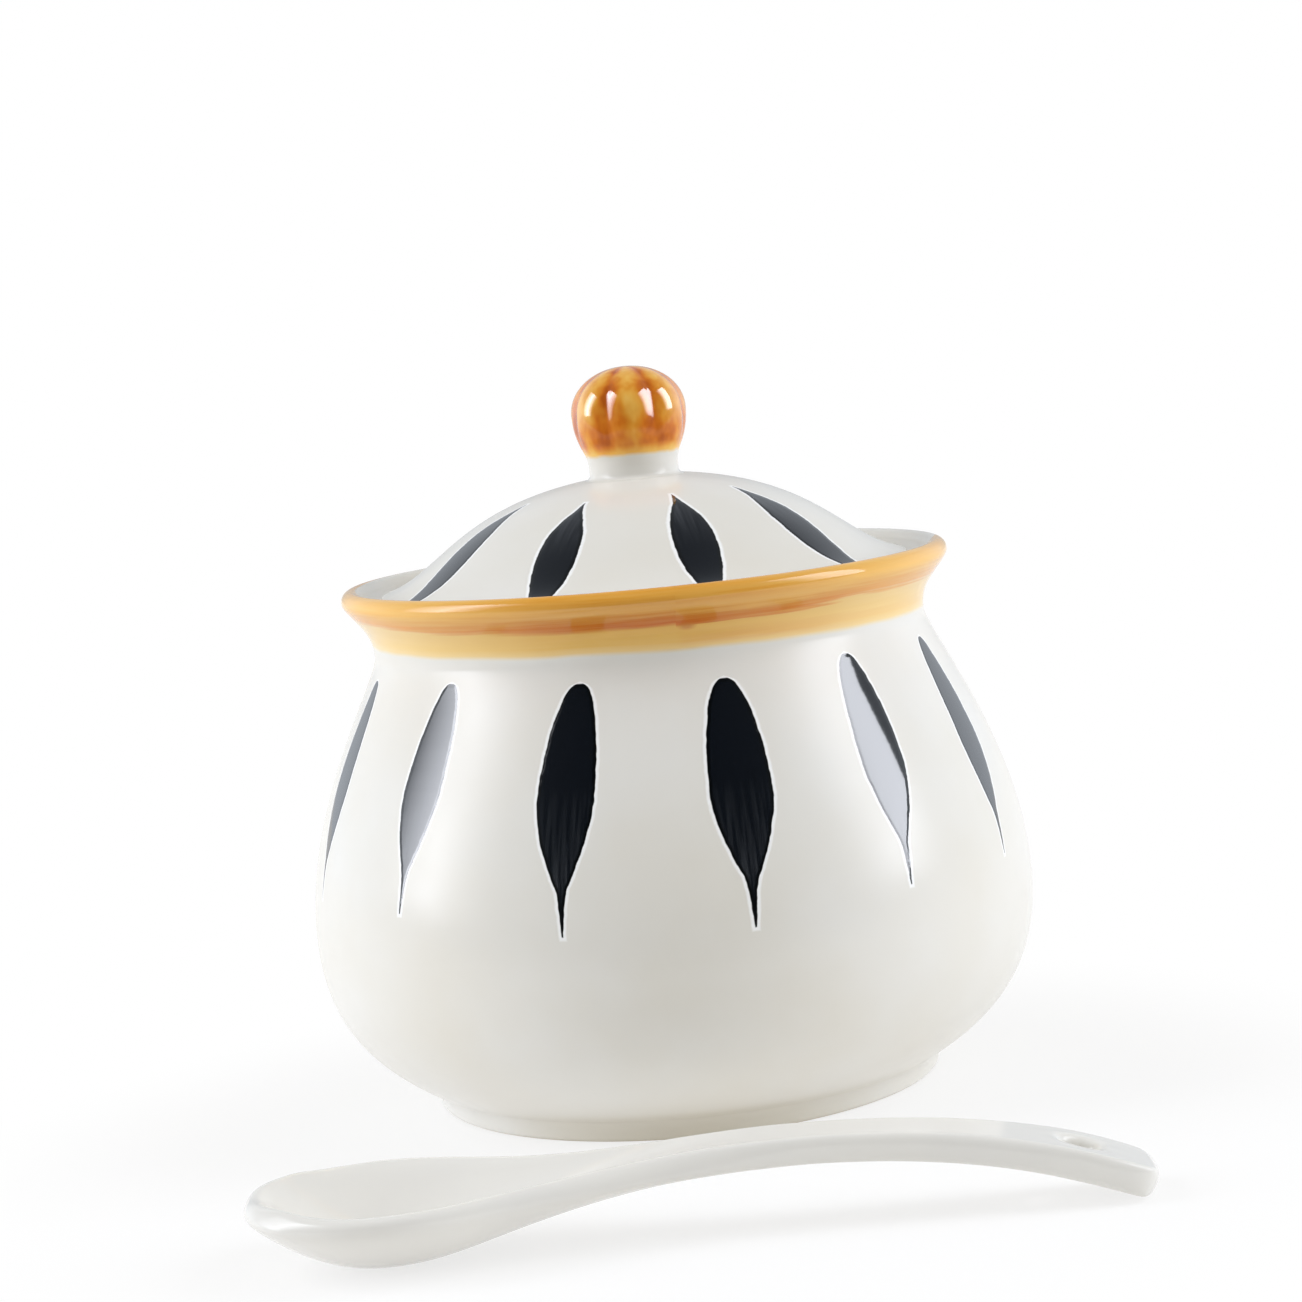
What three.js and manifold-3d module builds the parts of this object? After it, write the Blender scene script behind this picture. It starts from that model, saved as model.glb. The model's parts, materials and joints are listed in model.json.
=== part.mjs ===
// A glazed ceramic spice jar: a squat pot, a domed lid with a ribbed knob, and the serving spoon of the set.
// Millimetres, +Z up. The origin is the centre of the pot's flat base, and the spoon lies in front, at -Y.
import * as THREE from "three";
import { LoftGeometry } from "three/addons/geometries/LoftGeometry.js";
import { mergeVertices } from "three/addons/utils/BufferGeometryUtils.js";
import Module from "manifold-3d";

// Driving dimensions of the pot.
const BASE_RADIUS = 37.6; // flat underside that stands on the table
const FOOT_EDGE = 1.8; // rounding between the underside and the foot's wall
const FOOT_HEIGHT = 2.6; // table to the crease where the bowl springs from the foot
const BELLY_RADIUS = 56;
const BELLY_HEIGHT = 28.8;
const NECK_RADIUS = 42.7;
const NECK_HEIGHT = 71;
const LIP_RADIUS = 47; // outermost point of the flared lip
const LIP_ROUND = 1.6;
const JAR_HEIGHT = 81.5; // table to the crest of the lip
const WALL = 4.2;
const FLOOR = 5;
const INNER_FLOOR_RADIUS = 30;
const LEDGE_DEPTH = 4.1; // crest of the lip down to the ledge that carries the lid

// Driving dimensions of the lid and its knob.
const LID_RADIUS = 41;
const LID_PLAY = 0.6; // between the lid's edge and the lip around it
const LID_EDGE = 0.9; // rounding of the flange's upper edge
const FLANGE = 2.8; // thickness of the flange at its edge
const LID_WALL = 3.8;
const LID_RISE = 17.5; // ledge up to the crown under the knob
const RING_DEPTH = 6; // locating ring below the flange
const RING_WALL = 3.4;
const RING_PLAY = 0.8; // between the locating ring and the throat
const STEM_RADIUS = 6.9;
const STEM_HEIGHT = 3.1;
const STEM_FILLET = 0.8; // slip that joins the stem to the crown
const KNOB_RADIUS = 9;
const KNOB_HEIGHT = 14; // top of the stem to the top of the knob
const KNOB_WAIST = 7; // top of the stem up to the widest point
const RIBS = 7;
const RIB_DEPTH = 0.7;
const RIB_TURN = 1.5; // degrees from the front, which faces -Y, to one of the ribs

// Driving dimensions of the spoon.
const SPOON_LENGTH = 119.5;
const BOWL_WIDTH = 30.7;
const BOWL_WIDEST = 17.9; // tip of the bowl to its widest point
const BOWL_DEPTH = 8.6; // of the middle of the wall below the rim
const SPOON_WALL = 3.4;
const WAIST_WIDTH = 8.8;
const WAIST_AT = 74; // tip of the bowl to the narrowest place of the handle
const HANDLE_START = 36; // tip of the bowl to where the rim leaves its level
const HANDLE_ARCH = 12; // height, above the handle's end, of the point that its last stretch heads for
const END_WIDTH = 12.6;
const END_CORNER = 4;
const HANDLE_THICKNESS = 4.2;
const HOLE_DIAMETER = 3.9;
const HOLE_INSET = 10.3; // centre of the hanging hole to the end of the handle
const SPOON_CLEARANCE = 16.5; // pot's belly to the side of the spoon's bowl

// Heights and radii that follow from the sizes above.
const FOOT_RADIUS = BASE_RADIUS + FOOT_EDGE;
const LEDGE_HEIGHT = JAR_HEIGHT - LEDGE_DEPTH;
const SEAT_RADIUS = LID_RADIUS + LID_PLAY;
const THROAT_RADIUS = NECK_RADIUS - WALL;
const RING_RADIUS = THROAT_RADIUS - RING_PLAY;
const CROWN_HEIGHT = LEDGE_HEIGHT + LID_RISE;
const CROWN_RADIUS = STEM_RADIUS + STEM_FILLET;
const STEM_TOP = CROWN_HEIGHT + STEM_HEIGHT;

// How full the curves are: where the two handles of each curve lie, as shares of its width and height.
const HIP = { out: 0.65, up: 0.22, hold: 0.505 };
const SHOULDER = { pull: 0.477, hold: 0.091 };
const FLARE = { pull: 0.5, inward: 0.46, down: 0.34 };
const LIP_START = -35; // degrees, where the flare runs into the rounding of the lip
const BOWL_INSIDE = { pull: 0.55, out: 0.62 };
const DOME = { inward: 0.27, up: 0.18, out: 0.625, down: 0.18 };
const HOLLOW = { out: 0.6, down: 0.19, inward: 0.27, up: 0.33 };
const BALL = { out: 0.35, up: 0.2, hold: 0.5, pull: 0.55, cap: 0.58 };
const EGG = { pull: 0.63, hold: 0.56 };
const BOWL_BACK = { pull: 0.25, hold: 0.7 };
const HANDLE_SIDE = { pull: 0.3, hold: 0.45, spread: 0.5 };
const DISH_TIP = 2; // power of the bowl's width that its depth follows towards the tip
const DISH_BACK = 0.8; // the same towards the handle
const SQUARENESS = 2 / 3; // of the spoon's sections: 1 is an ellipse, less is squarer

// How finely round shapes are divided.
const ROUND_STEPS = 60;
const KNOB_STEPS = 6 * RIBS;
const HOLE_STEPS = 24;
const SECTION_POINTS = 20;
const SAME_POINT = 1e-4;

const at = (radius, height) => new THREE.Vector2(radius, height);
const line = (from, to) => new THREE.LineCurve(from, to);
const bend = (from, pull, hold, to) => new THREE.CubicBezierCurve(from, pull, hold, to);

function arc(middle, radius, fromDegrees, toDegrees) {
  const from = THREE.MathUtils.degToRad(fromDegrees);
  const to = THREE.MathUtils.degToRad(toDegrees);
  return new THREE.ArcCurve(middle.x, middle.y, radius, from, to, to < from);
}

// Points along a chain of curves, each given with its number of steps.
function trace(...stretches) {
  const points = [];
  for (const [curve, steps] of stretches) {
    for (const point of curve.getPoints(steps)) {
      const last = points.at(-1);
      if (!last || last.distanceTo(point) > SAME_POINT) points.push(point);
    }
  }
  return points;
}

// A profile of radius and height, turned about +Z.
function turned(profile, steps) {
  return new THREE.LatheGeometry(profile, steps).rotateX(Math.PI / 2);
}

// Pot: foot, hip, belly, neck and lip outside, then the ledge, throat and bowl inside.
function jarBody() {
  const foot = at(FOOT_RADIUS, FOOT_HEIGHT);
  const belly = at(BELLY_RADIUS, BELLY_HEIGHT);
  const neck = at(NECK_RADIUS, NECK_HEIGHT);
  const hipWide = BELLY_RADIUS - FOOT_RADIUS;
  const hipTall = BELLY_HEIGHT - FOOT_HEIGHT;
  const shoulderTall = NECK_HEIGHT - BELLY_HEIGHT;
  const lipMiddle = at(LIP_RADIUS - LIP_ROUND, JAR_HEIGHT - LIP_ROUND);
  const flareEnd = arc(lipMiddle, LIP_ROUND, LIP_START, 0).getPoint(0);
  const flareTall = flareEnd.y - NECK_HEIGHT;
  const flareWide = flareEnd.x - NECK_RADIUS;
  const innerLip = at(lipMiddle.x - LIP_ROUND, lipMiddle.y);
  const seat = at(SEAT_RADIUS, LEDGE_HEIGHT);
  const throat = at(THROAT_RADIUS, NECK_HEIGHT);
  const innerBelly = at(BELLY_RADIUS - WALL, BELLY_HEIGHT);
  const innerFloor = at(INNER_FLOOR_RADIUS, FLOOR);
  const bowlWide = innerBelly.x - INNER_FLOOR_RADIUS;
  const bowlTall = BELLY_HEIGHT - FLOOR;
  const profile = trace(
    [line(at(0, 0), at(BASE_RADIUS, 0)), 1],
    [arc(at(BASE_RADIUS, FOOT_EDGE), FOOT_EDGE, -90, 0), 3],
    [line(at(FOOT_RADIUS, FOOT_EDGE), foot), 1],
    [bend(
      foot,
      at(FOOT_RADIUS + HIP.out * hipWide, FOOT_HEIGHT + HIP.up * hipTall),
      at(BELLY_RADIUS, BELLY_HEIGHT - HIP.hold * hipTall),
      belly,
    ), 8],
    [bend(
      belly,
      at(BELLY_RADIUS, BELLY_HEIGHT + SHOULDER.pull * shoulderTall),
      at(NECK_RADIUS, NECK_HEIGHT - SHOULDER.hold * shoulderTall),
      neck,
    ), 9],
    [bend(
      neck,
      at(NECK_RADIUS, NECK_HEIGHT + FLARE.pull * flareTall),
      at(flareEnd.x - FLARE.inward * flareWide, flareEnd.y - FLARE.down * flareTall),
      flareEnd,
    ), 4],
    [arc(lipMiddle, LIP_ROUND, LIP_START, 180), 7],
    [line(innerLip, seat), 1],
    [line(seat, at(THROAT_RADIUS, LEDGE_HEIGHT)), 1],
    [line(at(THROAT_RADIUS, LEDGE_HEIGHT), throat), 1],
    [bend(
      throat,
      at(THROAT_RADIUS, NECK_HEIGHT - SHOULDER.hold * shoulderTall),
      at(innerBelly.x, BELLY_HEIGHT + SHOULDER.pull * shoulderTall),
      innerBelly,
    ), 8],
    [bend(
      innerBelly,
      at(innerBelly.x, BELLY_HEIGHT - BOWL_INSIDE.pull * bowlTall),
      at(INNER_FLOOR_RADIUS + BOWL_INSIDE.out * bowlWide, FLOOR),
      innerFloor,
    ), 7],
    [line(innerFloor, at(0, FLOOR)), 1],
  );
  return turned(profile, ROUND_STEPS);
}

// Lid: a dome that sweeps out into the flange, hollow below, with the locating ring under it.
function lid() {
  const ringInner = RING_RADIUS - RING_WALL;
  const ringRound = RING_WALL / 2;
  const ringMiddle = at(RING_RADIUS - ringRound, LEDGE_HEIGHT - RING_DEPTH + ringRound);
  const crown = at(CROWN_RADIUS, CROWN_HEIGHT);
  const hollowCrown = at(CROWN_RADIUS, CROWN_HEIGHT - LID_WALL);
  const hollowEdge = at(ringInner, LEDGE_HEIGHT + LID_WALL / 2);
  const hollowWide = ringInner - CROWN_RADIUS;
  const hollowTall = hollowCrown.y - hollowEdge.y;
  const edgeMiddle = at(LID_RADIUS - LID_EDGE, LEDGE_HEIGHT + FLANGE - LID_EDGE);
  const flangeTop = at(edgeMiddle.x, LEDGE_HEIGHT + FLANGE);
  const domeWide = flangeTop.x - CROWN_RADIUS;
  const domeTall = CROWN_HEIGHT - flangeTop.y;
  const profile = trace(
    [line(at(0, hollowCrown.y), hollowCrown), 1],
    [bend(
      hollowCrown,
      at(CROWN_RADIUS + HOLLOW.out * hollowWide, hollowCrown.y - HOLLOW.down * hollowTall),
      at(ringInner - HOLLOW.inward * hollowWide, hollowEdge.y + HOLLOW.up * hollowTall),
      hollowEdge,
    ), 7],
    [line(hollowEdge, at(ringInner, ringMiddle.y)), 1],
    [arc(ringMiddle, ringRound, 180, 360), 5],
    [line(at(RING_RADIUS, ringMiddle.y), at(RING_RADIUS, LEDGE_HEIGHT)), 1],
    [line(at(RING_RADIUS, LEDGE_HEIGHT), at(LID_RADIUS, LEDGE_HEIGHT)), 1],
    [line(at(LID_RADIUS, LEDGE_HEIGHT), at(LID_RADIUS, edgeMiddle.y)), 1],
    [arc(edgeMiddle, LID_EDGE, 0, 90), 3],
    [bend(
      flangeTop,
      at(flangeTop.x - DOME.inward * domeWide, flangeTop.y + DOME.up * domeTall),
      at(CROWN_RADIUS + DOME.out * domeWide, CROWN_HEIGHT - DOME.down * domeTall),
      crown,
    ), 10],
    [line(crown, at(0, CROWN_HEIGHT)), 1],
  );
  return turned(profile, ROUND_STEPS);
}

// Knob: a short stem spreading into the crown, and a ball with upright ribs like a melon's.
function knob() {
  const filletMiddle = at(CROWN_RADIUS, CROWN_HEIGHT + STEM_FILLET);
  const stem = at(STEM_RADIUS, STEM_TOP);
  const waist = at(KNOB_RADIUS, STEM_TOP + KNOB_WAIST);
  const top = at(0, STEM_TOP + KNOB_HEIGHT);
  const overhang = KNOB_RADIUS - STEM_RADIUS;
  const crownTall = KNOB_HEIGHT - KNOB_WAIST;
  const profile = trace(
    [line(at(0, CROWN_HEIGHT), at(CROWN_RADIUS, CROWN_HEIGHT)), 1],
    [arc(filletMiddle, STEM_FILLET, 270, 180), 2],
    [line(at(STEM_RADIUS, filletMiddle.y), stem), 1],
    [bend(
      stem,
      at(STEM_RADIUS + BALL.out * overhang, STEM_TOP + BALL.up * KNOB_WAIST),
      at(KNOB_RADIUS, waist.y - BALL.hold * KNOB_WAIST),
      waist,
    ), 6],
    [bend(
      waist,
      at(KNOB_RADIUS, waist.y + BALL.pull * crownTall),
      at(BALL.cap * KNOB_RADIUS, top.y),
      top,
    ), 7],
  );
  const ball = turned(profile, KNOB_STEPS);
  const places = ball.getAttribute("position");
  const point = new THREE.Vector3();
  const front = THREE.MathUtils.degToRad(RIB_TURN - 90);
  for (let i = 0; i < places.count; i += 1) {
    point.fromBufferAttribute(places, i);
    const above = THREE.MathUtils.clamp((point.z - STEM_TOP) / KNOB_WAIST, 0, 1);
    const angle = Math.atan2(point.y, point.x) - front;
    const groove = 1 - Math.abs(Math.cos((RIBS / 2) * angle));
    const keep = 1 - (RIB_DEPTH / KNOB_RADIUS) * above * groove;
    places.setXYZ(i, point.x * keep, point.y * keep, point.z);
  }
  return ball;
}

// One side of the spoon's outline, from the tip of the bowl to the end of the handle: length and half width.
function spoonOutline() {
  const tip = at(0, SPOON_WALL / 2);
  const widest = at(BOWL_WIDEST, BOWL_WIDTH / 2);
  const waist = at(WAIST_AT, WAIST_WIDTH / 2);
  const corner = at(SPOON_LENGTH - END_CORNER, END_WIDTH / 2 - END_CORNER);
  const end = at(corner.x, END_WIDTH / 2);
  const back = WAIST_AT - BOWL_WIDEST;
  const rear = end.x - WAIST_AT;
  const spread = (END_WIDTH - WAIST_WIDTH) / 2;
  return trace(
    [bend(tip, at(0, EGG.pull * widest.y), at(EGG.hold * BOWL_WIDEST, widest.y), widest), 8],
    [bend(
      widest,
      at(BOWL_WIDEST + BOWL_BACK.pull * back, widest.y),
      at(WAIST_AT - BOWL_BACK.hold * back, waist.y),
      waist,
    ), 10],
    [bend(
      waist,
      at(WAIST_AT + HANDLE_SIDE.pull * rear, waist.y),
      at(end.x - HANDLE_SIDE.hold * rear, end.y - HANDLE_SIDE.spread * spread),
      end,
    ), 5],
    [arc(corner, END_CORNER, 90, 0), 4],
  );
}

// Spoon: sections along its length, dished in the bowl and flat in the handle, with a hole at the end.
// It rests on the bottom of its bowl and on the end of its handle.
function spoon(wasm) {
  const rim = BOWL_DEPTH + SPOON_WALL / 2;
  const handleEnd = HANDLE_THICKNESS / 2;
  const third = (SPOON_LENGTH - HANDLE_START) / 3;
  const handleLine = bend(
    at(HANDLE_START, rim),
    at(HANDLE_START + third, rim),
    at(HANDLE_START + 2 * third, handleEnd + HANDLE_ARCH),
    at(SPOON_LENGTH, handleEnd),
  );
  const sections = spoonOutline().map(({ x, y: half }) => {
    const along = THREE.MathUtils.clamp((x - HANDLE_START) / (3 * third), 0, 1);
    const level = handleLine.getPoint(along).y;
    const tipShare = half / (BOWL_WIDTH / 2);
    const backShare = (2 * half - WAIST_WIDTH) / (BOWL_WIDTH - WAIST_WIDTH);
    const share = x < BOWL_WIDEST ? tipShare ** DISH_TIP : Math.max(backShare, 0) ** DISH_BACK;
    const dish = x < WAIST_AT ? BOWL_DEPTH * share : 0;
    const thickness = THREE.MathUtils.lerp(SPOON_WALL, HANDLE_THICKNESS, along);
    return dishedSection(x, half, level, dish, thickness);
  });
  const body = new LoftGeometry(sections, { capStart: true, capEnd: true });
  const drill = new THREE.CylinderGeometry(HOLE_DIAMETER / 2, HOLE_DIAMETER / 2, 4 * rim, HOLE_STEPS);
  drill.rotateX(Math.PI / 2).translate(SPOON_LENGTH - HOLE_INSET, 0, 0);
  return surface(solid(wasm, body).subtract(solid(wasm, drill)));
}

// A closed section across the spoon, with rounded sides, that hangs by its dish below its level.
function dishedSection(x, half, level, dish, thickness) {
  const points = [];
  for (let i = 0; i < SECTION_POINTS; i += 1) {
    const angle = (2 * Math.PI * i) / SECTION_POINTS;
    const across = Math.sign(Math.cos(angle)) * Math.abs(Math.cos(angle)) ** SQUARENESS;
    const through = Math.sign(Math.sin(angle)) * Math.abs(Math.sin(angle)) ** SQUARENESS;
    const slope = (2 * dish * across) / half;
    const offset = (thickness / 2) * through / Math.hypot(1, slope);
    const middle = level - dish * (1 - across * across);
    points.push(new THREE.Vector3(x, half * across - slope * offset, middle + offset));
  }
  return points;
}

// A closed geometry as a solid that can be cut.
function solid(wasm, geometry) {
  const bare = new THREE.BufferGeometry();
  bare.setAttribute("position", geometry.getAttribute("position"));
  bare.setIndex(geometry.getIndex());
  const merged = mergeVertices(bare);
  const vertProperties = merged.getAttribute("position").array;
  const triVerts = new Uint32Array(merged.getIndex().array);
  return new wasm.Manifold(new wasm.Mesh({ numProp: 3, vertProperties, triVerts }));
}

// A cut solid as a geometry again.
function surface(cut) {
  const mesh = cut.getMesh();
  const geometry = new THREE.BufferGeometry();
  geometry.setAttribute("position", new THREE.BufferAttribute(mesh.vertProperties, mesh.numProp));
  geometry.setIndex(new THREE.BufferAttribute(mesh.triVerts, 1));
  geometry.computeVertexNormals();
  return geometry;
}

function piece(name, geometry, color, roughness) {
  const material = new THREE.MeshStandardMaterial({ color, roughness, metalness: 0 });
  const mesh = new THREE.Mesh(geometry, material);
  mesh.name = name;
  return mesh;
}

const wasm = await Module();
wasm.setup();

const jar = new THREE.Group();
jar.add(piece("jar_body", jarBody(), 0xe9e4d9, 0.15));
jar.add(piece("lid", lid(), 0xe9e4d9, 0.15));
jar.add(piece("knob", knob(), 0xc9822f, 0.12));

const servingSpoon = piece("spoon", spoon(wasm), 0xefeeeb, 0.12);
servingSpoon.position.set(-SPOON_LENGTH / 2, -(BELLY_RADIUS + SPOON_CLEARANCE + BOWL_WIDTH / 2), 0);
jar.add(servingSpoon);

export default jar;
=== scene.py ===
# %% [markdown]
# # A spice jar in glazed stoneware, with its lid and spoon
#
# The jar is a squat pot with a flared lip. A domed lid sits inside the lip, and a ribbed knob is
# luted to the lid. A plain white spoon belongs to the set. The pot and the lid carry a ring of black
# brush strokes, and the lip and the knob are dipped or banded in amber glaze.
#
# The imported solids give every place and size. Each one is replaced here by a smoother piece of the
# same shape, because glaze rounds every edge and shows every facet in its reflections.

# %% Load the frame
import json
from math import atan2, cos, degrees, hypot, pi, radians, sin

import bmesh
import bpy
import numpy
from mathutils import Matrix, Vector
from mathutils.geometry import interpolate_bezier

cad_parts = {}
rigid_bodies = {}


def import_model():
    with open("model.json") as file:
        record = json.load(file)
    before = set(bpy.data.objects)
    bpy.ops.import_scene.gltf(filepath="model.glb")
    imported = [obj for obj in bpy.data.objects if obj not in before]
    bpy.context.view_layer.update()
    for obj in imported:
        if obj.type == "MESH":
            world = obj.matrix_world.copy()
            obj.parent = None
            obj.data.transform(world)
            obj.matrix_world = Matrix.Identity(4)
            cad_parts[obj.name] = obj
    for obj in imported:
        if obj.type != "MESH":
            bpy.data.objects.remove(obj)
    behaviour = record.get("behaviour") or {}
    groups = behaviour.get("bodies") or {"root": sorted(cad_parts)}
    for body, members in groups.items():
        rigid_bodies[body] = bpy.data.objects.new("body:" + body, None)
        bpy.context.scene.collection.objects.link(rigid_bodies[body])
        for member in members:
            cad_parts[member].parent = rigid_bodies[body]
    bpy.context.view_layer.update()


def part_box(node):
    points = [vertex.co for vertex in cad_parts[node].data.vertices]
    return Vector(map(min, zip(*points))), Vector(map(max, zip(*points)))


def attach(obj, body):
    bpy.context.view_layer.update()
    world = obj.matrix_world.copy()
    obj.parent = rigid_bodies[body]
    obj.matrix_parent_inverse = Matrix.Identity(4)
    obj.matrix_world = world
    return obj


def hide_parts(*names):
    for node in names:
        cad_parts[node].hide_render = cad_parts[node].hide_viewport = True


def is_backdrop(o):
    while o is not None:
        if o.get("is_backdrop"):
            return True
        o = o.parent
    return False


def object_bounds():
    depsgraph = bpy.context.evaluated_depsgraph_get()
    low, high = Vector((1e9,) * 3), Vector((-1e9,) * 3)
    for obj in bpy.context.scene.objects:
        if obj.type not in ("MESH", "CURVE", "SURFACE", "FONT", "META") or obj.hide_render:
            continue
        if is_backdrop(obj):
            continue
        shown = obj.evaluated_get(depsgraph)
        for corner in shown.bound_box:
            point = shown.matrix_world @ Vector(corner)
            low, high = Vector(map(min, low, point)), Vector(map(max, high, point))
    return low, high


for leftover in list(bpy.data.objects):
    bpy.data.objects.remove(leftover)
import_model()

# %% [markdown]
# ## Camera
#
# A product photographer stands a little above the lip and uses a long lens, so the belly keeps its
# true width. The jar leans in the picture, which is the camera held askew and not a crooked pot, so
# the camera is rolled and the pot stays upright.

# %% Camera
MM = 0.001

EYE = Vector((0, -509.4, 123.4)) * MM
LOOK_DOWN = radians(6.25)
ROLL = radians(-5.33)
LENS = 91.07


def placed(name, data):
    """Put an object with this data in the scene."""
    made = bpy.data.objects.new(name, data)
    bpy.context.scene.collection.objects.link(made)
    return made


eye = placed("camera", bpy.data.cameras.new("camera"))
eye.data.lens = LENS
tilt = Matrix.Rotation(pi / 2 - LOOK_DOWN, 4, "X") @ Matrix.Rotation(ROLL, 4, "Z")
eye.matrix_world = Matrix.Translation(EYE) @ tilt
bpy.context.scene.camera = eye
print("camera stands", round(EYE.length, 3), "m from the jar's base")

# %% [markdown]
# ## Colours and nodes
#
# Colours are written as the sRGB hex values that an eye-dropper shows, and shaders work in linear
# light, so one function turns the first into the second. Another adds a node to a tree with its
# settings and links. Every material below is written with these.
#
# Blender's noise stays mostly between 0.3 and 0.7, so a range near that is often spread out.

# %% Helpers for materials
SMOOTH = {"interpolation_type": "SMOOTHSTEP"}  # settings of a range that starts and ends softly
BLEND = {"data_type": "RGBA", "out": 2}  # and of a mix of two colours, which are its inputs 6 and 7


def linear(hex_colour):
    """An sRGB hex colour as linear red, green, blue and alpha."""
    shares = [int(hex_colour[i : i + 2], 16) / 255 for i in (1, 3, 5)]
    light = [s / 12.92 if s <= 0.04045 else ((s + 0.055) / 1.055) ** 2.4 for s in shares]
    return (*light, 1.0)


def node_adder(owner):
    """Empty the node tree of a world, lamp or material, and return a function that adds to it."""
    owner.use_nodes = True
    tree = owner.node_tree
    tree.nodes.clear()

    def add(kind, inputs=(), operation=None, out=0, curve=(), stops=(), **settings):
        """Add a node with its inputs, operation, curve points, colour stops and other settings.

        Colours are hex values. Returns an output of the node, or the node itself if out is None.
        """
        made = tree.nodes.new("ShaderNode" + kind)
        if operation:
            made.operation = operation
        for name, value in settings.items():
            setattr(made, name, value)
        if curve:
            points = made.mapping.curves[0].points
            while len(points) < len(curve):
                points.new(0.5, 0.5)
            for point, location in zip(points, curve):
                point.location = location
            made.mapping.update()
        if stops:
            elements = made.color_ramp.elements
            while len(elements) < len(stops):
                elements.new(1.0)
            for element, (position, colour) in zip(elements, stops):
                element.position = position
                element.color = linear(colour)
        pairs = inputs.items() if isinstance(inputs, dict) else enumerate(inputs)
        for socket, value in pairs:
            if isinstance(value, bpy.types.NodeSocket):
                tree.links.new(value, made.inputs[socket])
            else:
                colour = isinstance(value, str)
                made.inputs[socket].default_value = linear(value) if colour else value
        return made if out is None else made.outputs[out]

    return add


def link(value, node, name):
    """Link an output to this input of a node that is there already."""
    node.id_data.links.new(value, node.inputs[name])


print("mid grey #808080 is", round(linear("#808080")[0], 3), "in linear light")

# %% [markdown]
# ## Studio
#
# The set is a white table in front of a bright wall, and the side where the photographer stands is
# dark. That dark side is why the strokes that face the camera look black, and the bright wall is why
# those at the sides look grey. Straight behind the jar the wall is darker again, so from behind the
# strokes stay black too. The clay itself is still lit from the front: with a polariser on the lamp
# and one on the lens, a fill light shows on clay but not as a mirror image in the glaze. It is warm
# and strongest above, and cool white cards above and at both sides lighten what faces them. So the
# world has three levels: the studio for mirrored rays, the fill with its cards for the rest, and
# plain white for what the camera sees directly.

# %% World
PLAIN = "#FFFFFF"
WALL = "#EFF6FF"
WALL_LEVEL = 1.15  # at table height, where white is 1
WALL_FROM_FRONT = (
    (0, 0.02), (0.18, 0.03), (0.36, 0.18), (0.5, 0.42), (0.68, 0.8), (0.8, 0.98), (0.9, 0.95),
    (0.97, 0.65), (1, 0.5),
)
WALL_FROM_BELOW = ((0, 1), (0.54, 1), (0.74, 0.6), (0.92, 0.15), (1, 0.1))
FILL = "#FFF6DE"
FILL_LEVEL = 0.222  # all round
FILL_ABOVE = 0.27  # more of it straight above
CARDS = "#C9DDFF"  # white cards that mirror a cool window
CARDS_SIDES = 1.18
CARDS_FOCUS = 4  # the higher, the closer those at the sides keep to the jar's left and right
CARDS_ABOVE = 0.25

world = bpy.data.worlds.new("white studio with a dark front")
bpy.context.scene.world = world
add = node_adder(world)
direction = add("TexCoord", out="Generated")
x, y, z = add("SeparateXYZ", [direction], out=None).outputs
backward = add("MapRange", [y, -1, 1, 0, 1])
upward = add("MapRange", [z, -1, 1, 0, 1])
across = add("FloatCurve", {"Value": backward}, curve=WALL_FROM_FRONT)
above = add("FloatCurve", {"Value": upward}, curve=WALL_FROM_BELOW)
share = add("Math", [across, above], "MULTIPLY")
wall = add("Math", [share, WALL_LEVEL], "MULTIPLY")
sideways = add("Math", [x, CARDS_FOCUS], "POWER")
overhead = add("Math", [z, 0], "MAXIMUM")
beside = add("Math", [sideways, CARDS_SIDES], "MULTIPLY")
cards = add("Math", [overhead, CARDS_ABOVE, beside], "MULTIPLY_ADD")
filled = add("Math", [overhead, FILL_ABOVE, FILL_LEVEL], "MULTIPLY_ADD")
even = add("Background", {"Color": FILL, "Strength": filled})
carded = add("Background", {"Color": CARDS, "Strength": cards})
fill = add("AddShader", [even, carded])
mirrored = add("Background", {"Color": WALL, "Strength": wall})
plain = add("Background", {"Color": PLAIN})
rays = add("LightPath", out=None).outputs
studio = add("MixShader", [rays["Is Glossy Ray"], fill, mirrored])
straight = add("Math", [rays["Is Camera Ray"], rays["Is Transmission Ray"]], "MAXIMUM")
light = add("MixShader", [straight, studio, plain])
add("OutputWorld", [light], out=None)
print("world: wall", WALL_LEVEL, "and fill", FILL_LEVEL, "with cards of", CARDS_SIDES)

# %% [markdown]
# Two tall softboxes stand left and right and draw the two upright highlights. A softbox is brightest
# in its middle and fades to its sides, so its reflection has soft edges. The right one is cut by a
# flag at its far side, which leaves the one crisp edge that the strokes on the right show.

# %% Softboxes
AIM = Vector((0, 0, 45)) * MM
SOFTBOX_LIGHT = "#F4F7FF"
SOFTBOX_TALL = 0.91  # m
SOFTBOX_UP = radians(27.5)  # above the horizon, seen from the jar


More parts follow.
